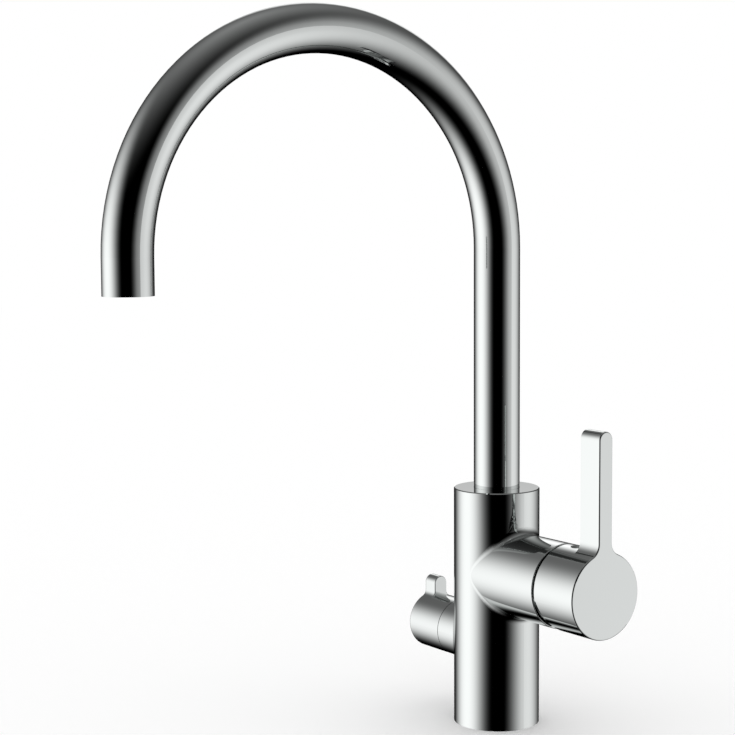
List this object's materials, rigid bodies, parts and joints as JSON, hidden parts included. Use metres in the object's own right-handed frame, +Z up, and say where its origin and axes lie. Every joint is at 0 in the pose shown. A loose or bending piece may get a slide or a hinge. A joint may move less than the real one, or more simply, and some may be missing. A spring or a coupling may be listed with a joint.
{
  "type": "kitchen tap",
  "caption": "Deck mounted kitchen tap with a swivelling arched spout, a side mixer lever and a separate quarter turn knob for filtered water.",
  "frame": {"origin": "centre of the column's foot, on the deck that the tap stands on", "axes": "+Z up along the column; the spout reaches towards -Y, the user's side, at rest; the mixer lever is on +X and the filtered water knob on -X"},
  "size_m": [0.1493, 0.2631, 0.3906],
  "materials": {
    "chrome": "polished",
    "brass": "satin",
    "stainless_steel": "satin",
    "rubber": "matte",
    "ceramic": "satin",
    "cartridge_plastic": "matte",
    "dark_plastic": "matte",
    "hose_plastic": "satin"
  },
  "bodies": {
    "body": {"body_casting": "chrome", "cartridge_base": "cartridge_plastic", "cartridge_base_seal": "rubber", "cartridge_housing": "cartridge_plastic", "cartridge_nut": "brass", "cartridge_port_seals": "rubber", "deck_gasket": "rubber", "filter_bush_seal": "rubber", "filter_fixed_ceramic": "ceramic", "filter_riser_pipe": "stainless_steel", "filter_seat_seal": "rubber", "filter_valve_bush": "brass", "mixer_dome": "chrome", "mixer_fixed_disc": "ceramic", "riser_foot_seal": "rubber", "spout_stop_screw": "stainless_steel", "spout_thrust_ring": "cartridge_plastic"},
    "spout": {"spout_tube": "chrome", "spout_spigot": "chrome", "spout_slide_rings": "cartridge_plastic", "spout_seals": "rubber", "riser_coupling": "brass", "riser_top_seal": "rubber", "filter_hose": "hose_plastic", "aerator_housing": "brass", "aerator_insert": "dark_plastic", "aerator_washer": "rubber", "filter_nozzle": "dark_plastic"},
    "mixer_rotor": {"cartridge_rotor": "cartridge_plastic", "cartridge_rotor_seal": "rubber", "lever_pin": "stainless_steel"},
    "mixing_disc": {"mixer_moving_disc": "ceramic", "mixer_disc_carrier": "cartridge_plastic"},
    "lever": {"mixer_lever": "chrome", "lever_stem": "stainless_steel", "lever_grub_screw": "stainless_steel"},
    "filter_handle": {"filter_knob": "chrome", "filter_spindle": "brass", "filter_spindle_seals": "rubber", "filter_moving_ceramic": "ceramic", "filter_circlip": "stainless_steel", "knob_grub_screw": "stainless_steel"}
  },
  "joints": [
    {"name": "spout_swivel", "type": "hinge", "parent": "body", "child": "spout", "pos_m": [0, 0, 0.132], "axis": [0, 0, 1], "range_deg": [-60, 60]},
    {"name": "mixer_turn", "type": "hinge", "parent": "body", "child": "mixer_rotor", "pos_m": [0.057, 0, 0.0858], "axis": [1, 0, 0], "range_deg": [-45, 45]},
    {"name": "lever_tilt", "type": "hinge", "parent": "mixer_rotor", "child": "lever", "pos_m": [0.057, 0, 0.0858], "axis": [0, 1, 0], "range_deg": [0, 15]},
    {"name": "disc_slide", "type": "slide", "parent": "mixer_rotor", "child": "mixing_disc", "axis": [0, 0, 1], "range_m": [-0.0001, 0.0047]},
    {"name": "filter_turn", "type": "hinge", "parent": "body", "child": "filter_handle", "pos_m": [-0.0335, 0, 0.0464], "axis": [1, 0, 0], "range_deg": [0, 90]}
  ],
  "couplings": [
    {"joint": "disc_slide", "follows": "lever_tilt", "m_per_rad": 0.017202}
  ]
}
